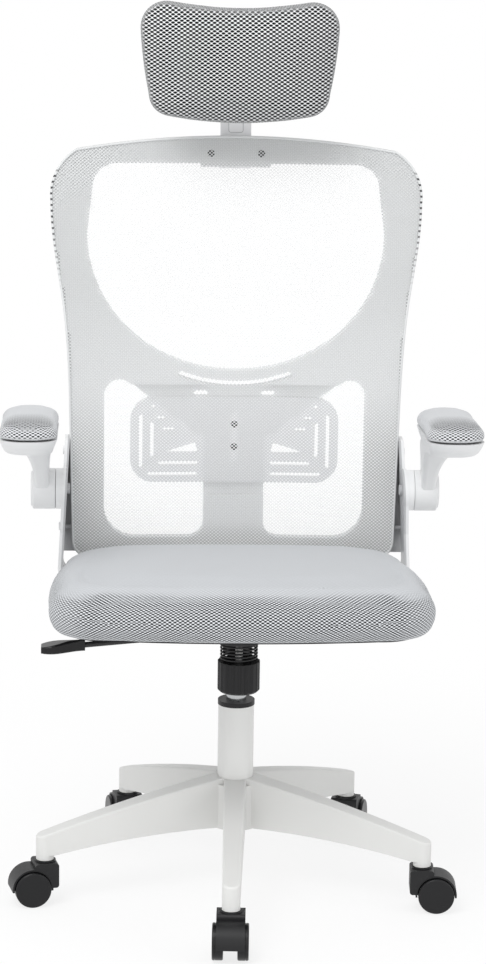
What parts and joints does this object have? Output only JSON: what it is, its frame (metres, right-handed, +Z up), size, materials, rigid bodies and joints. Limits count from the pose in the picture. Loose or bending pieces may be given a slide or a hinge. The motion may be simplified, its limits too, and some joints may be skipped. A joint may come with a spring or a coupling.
{
  "type": "task chair",
  "caption": "Swivel task chair with open mesh back, lumbar pad, headrest, flip-up padded arms, thick seat cushion, gas-lift column and star base on twin-wheel casters.",
  "frame": {"origin": "on the floor under the axis of the gas column", "axes": "+Z up; the chair faces -Y, so +X is on the sitter's left when seated and to the right in a front view"},
  "size_m": [0.657, 0.6327, 1.2255],
  "materials": {
    "white_nylon": "fine satin grain",
    "pale_grey_plastic": "satin moulded plastic",
    "black_plastic": "satin moulded plastic",
    "dark_steel": "black powder coat",
    "white_steel": "white powder coat",
    "chrome": "polished",
    "bare_steel": "plain zinc plated",
    "back_mesh_cloth": "open knitted mesh",
    "seat_cloth": "spacer mesh over foam",
    "arm_cloth": "spacer mesh over foam",
    "board": "plywood under a black dust cover",
    "wheel_black": "smooth nylon"
  },
  "bodies": {
    "base": {"star_base": "white_nylon", "column_tube": "white_steel", "column_bush": "black_plastic", "thrust_bearing": "bare_steel"},
    "lift_rod": {"piston_rod": "bare_steel", "rod_clip": "bare_steel"},
    "chassis": {"gas_cylinder": "chrome", "rod_guide": "black_plastic", "mech_housing": "dark_steel", "taper_socket": "dark_steel", "tilt_shaft": "bare_steel", "tension_spring": "dark_steel"},
    "release_pin": {"release_pin": "bare_steel"},
    "tension_bolt": {"tension_bolt": "bare_steel"},
    "tension_knob": {"tension_knob": "black_plastic"},
    "lever": {"lift_lever": "dark_steel", "lever_grip": "black_plastic"},
    "seat": {"seat_plate": "dark_steel", "seat_board": "board", "seat_cushion": "seat_cloth", "side_bracket_left": "white_steel", "side_bracket_right": "white_steel", "seat_bolts": "bare_steel", "bracket_bolts": "bare_steel", "back_frame": "white_nylon", "back_mesh": "back_mesh_cloth", "headrest_bracket": "white_nylon", "headrest_screws": "dark_steel"},
    "lumbar": {"lumbar_pad": "pale_grey_plastic", "lumbar_screws": "dark_steel"},
    "headrest_post": {"headrest_stem": "pale_grey_plastic", "headrest_pin": "bare_steel"},
    "headrest": {"headrest_shell": "white_nylon", "headrest_cushion": "seat_cloth"},
    "arm_left": {"arm_left": "white_nylon", "arm_pad_left": "arm_cloth", "arm_pivot_left": "white_nylon"},
    "arm_right": {"arm_right": "white_nylon", "arm_pad_right": "arm_cloth", "arm_pivot_right": "white_nylon"},
    "caster_1": {"caster_1_hood": "black_plastic", "caster_1_pins": "bare_steel"},
    "caster_1_wheel_a": {"caster_1_wheel_a": "wheel_black"},
    "caster_1_wheel_b": {"caster_1_wheel_b": "wheel_black"},
    "caster_2": {"caster_2_hood": "black_plastic", "caster_2_pins": "bare_steel"},
    "caster_2_wheel_a": {"caster_2_wheel_a": "wheel_black"},
    "caster_2_wheel_b": {"caster_2_wheel_b": "wheel_black"},
    "caster_3": {"caster_3_hood": "black_plastic", "caster_3_pins": "bare_steel"},
    "caster_3_wheel_a": {"caster_3_wheel_a": "wheel_black"},
    "caster_3_wheel_b": {"caster_3_wheel_b": "wheel_black"},
    "caster_4": {"caster_4_hood": "black_plastic", "caster_4_pins": "bare_steel"},
    "caster_4_wheel_a": {"caster_4_wheel_a": "wheel_black"},
    "caster_4_wheel_b": {"caster_4_wheel_b": "wheel_black"},
    "caster_5": {"caster_5_hood": "black_plastic", "caster_5_pins": "bare_steel"},
    "caster_5_wheel_a": {"caster_5_wheel_a": "wheel_black"},
    "caster_5_wheel_b": {"caster_5_wheel_b": "wheel_black"}
  },
  "joints": [
    {"name": "seat_swivel", "type": "hinge", "parent": "base", "child": "lift_rod", "pos_m": [0, 0, 0.1], "axis": [0, 0, 1], "continuous": true},
    {"name": "seat_height", "type": "slide", "parent": "lift_rod", "child": "chassis", "axis": [0, 0, 1], "range_m": [-0.06, 0.035]},
    {"name": "seat_tilt", "type": "hinge", "parent": "chassis", "child": "seat", "pos_m": [0, 0, 0.395], "axis": [-1, 0, 0], "range_deg": [0, 10], "stiffness_Nm_per_rad": 150, "springref_deg": -11.46, "deforming": ["tension_spring"]},
    {"name": "tension_travel", "type": "slide", "parent": "chassis", "child": "tension_bolt", "axis": [0, 0, 1], "range_m": [0, 0.0118], "deforming": ["tension_spring"]},
    {"name": "tension_turn", "type": "hinge", "parent": "tension_bolt", "child": "tension_knob", "pos_m": [0, -0.066, 0.325], "axis": [0, 0, 1], "continuous": true},
    {"name": "lever_lift", "type": "hinge", "parent": "chassis", "child": "lever", "pos_m": [-0.03, 0, 0.379], "axis": [0, 1, 0], "range_deg": [0, 6], "stiffness_Nm_per_rad": 2, "springref_deg": -6.88},
    {"name": "release_press", "type": "slide", "parent": "chassis", "child": "release_pin", "axis": [0, 0, 1], "range_m": [-0.0033, 0]},
    {"name": "lumbar_height", "type": "slide", "parent": "seat", "child": "lumbar", "axis": [0, 0, 1], "range_m": [-0.015, 0.015]},
    {"name": "headrest_height", "type": "slide", "parent": "seat", "child": "headrest_post", "axis": [0, 0.225, 0.9744], "range_m": [-0.025, 0.01]},
    {"name": "headrest_tilt", "type": "hinge", "parent": "headrest_post", "child": "headrest", "pos_m": [0, 0.25426, 1.13712], "axis": [1, 0, 0], "range_deg": [-20, 15]},
    {"name": "arm_left_flip", "type": "hinge", "parent": "seat", "child": "arm_left", "pos_m": [-0.27, 0.15, 0.538], "axis": [-1, 0, 0], "range_deg": [0, 90]},
    {"name": "arm_right_flip", "type": "hinge", "parent": "seat", "child": "arm_right", "pos_m": [0.27, 0.15, 0.538], "axis": [-1, 0, 0], "range_deg": [0, 90]},
    {"name": "caster_1_swivel", "type": "hinge", "parent": "base", "child": "caster_1", "pos_m": [-0.01436, -0.27402, 0.055], "axis": [0, 0, 1], "continuous": true},
    {"name": "caster_1_roll_a", "type": "hinge", "parent": "caster_1", "child": "caster_1_wheel_a", "pos_m": [-0.01541, -0.294, 0.025], "axis": [0.9986, -0.0523, 0], "continuous": true},
    {"name": "caster_1_roll_b", "type": "hinge", "parent": "caster_1", "child": "caster_1_wheel_b", "pos_m": [-0.01541, -0.294, 0.025], "axis": [0.9986, -0.0523, 0], "continuous": true},
    {"name": "caster_2_swivel", "type": "hinge", "parent": "base", "child": "caster_2", "pos_m": [0.25617, -0.09834, 0.055], "axis": [0, 0, 1], "continuous": true},
    {"name": "caster_2_roll_a", "type": "hinge", "parent": "caster_2", "child": "caster_2_wheel_a", "pos_m": [0.27615, -0.09938, 0.025], "axis": [0.0523, 0.9986, 0], "continuous": true},
    {"name": "caster_2_roll_b", "type": "hinge", "parent": "caster_2", "child": "caster_2_wheel_b", "pos_m": [0.27615, -0.09938, 0.025], "axis": [0.0523, 0.9986, 0], "continuous": true},
    {"name": "caster_3_swivel", "type": "hinge", "parent": "base", "child": "caster_3", "pos_m": [0.17269, 0.21325, 0.055], "axis": [0, 0, 1], "continuous": true},
    {"name": "caster_3_roll_a", "type": "hinge", "parent": "caster_3", "child": "caster_3_wheel_a", "pos_m": [0.17803, 0.23252, 0.025], "axis": [-0.9636, 0.2672, 0], "continuous": true},
    {"name": "caster_3_roll_b", "type": "hinge", "parent": "caster_3", "child": "caster_3_wheel_b", "pos_m": [0.17803, 0.23252, 0.025], "axis": [-0.9636, 0.2672, 0], "continuous": true},
    {"name": "caster_4_swivel", "type": "hinge", "parent": "base", "child": "caster_4", "pos_m": [-0.14945, 0.23013, 0.055], "axis": [0, 0, 1], "continuous": true},
    {"name": "caster_4_roll_a", "type": "hinge", "parent": "caster_4", "child": "caster_4_wheel_a", "pos_m": [-0.15344, 0.24973, 0.025], "axis": [-0.9799, -0.1994, 0], "continuous": true},
    {"name": "caster_4_roll_b", "type": "hinge", "parent": "caster_4", "child": "caster_4_wheel_b", "pos_m": [-0.15344, 0.24973, 0.025], "axis": [-0.9799, -0.1994, 0], "continuous": true},
    {"name": "caster_5_swivel", "type": "hinge", "parent": "base", "child": "caster_5", "pos_m": [-0.26505, -0.07102, 0.055], "axis": [0, 0, 1], "continuous": true},
    {"name": "caster_5_roll_a", "type": "hinge", "parent": "caster_5", "child": "caster_5_wheel_a", "pos_m": [-0.28461, -0.07518, 0.025], "axis": [0.2079, -0.9781, 0], "continuous": true},
    {"name": "caster_5_roll_b", "type": "hinge", "parent": "caster_5", "child": "caster_5_wheel_b", "pos_m": [-0.28461, -0.07518, 0.025], "axis": [0.2079, -0.9781, 0], "continuous": true}
  ],
  "couplings": [
    {"joint": "tension_travel", "follows": "seat_tilt", "m_per_rad": 0.067},
    {"joint": "release_press", "follows": "lever_lift", "m_per_rad": -0.03}
  ]
}
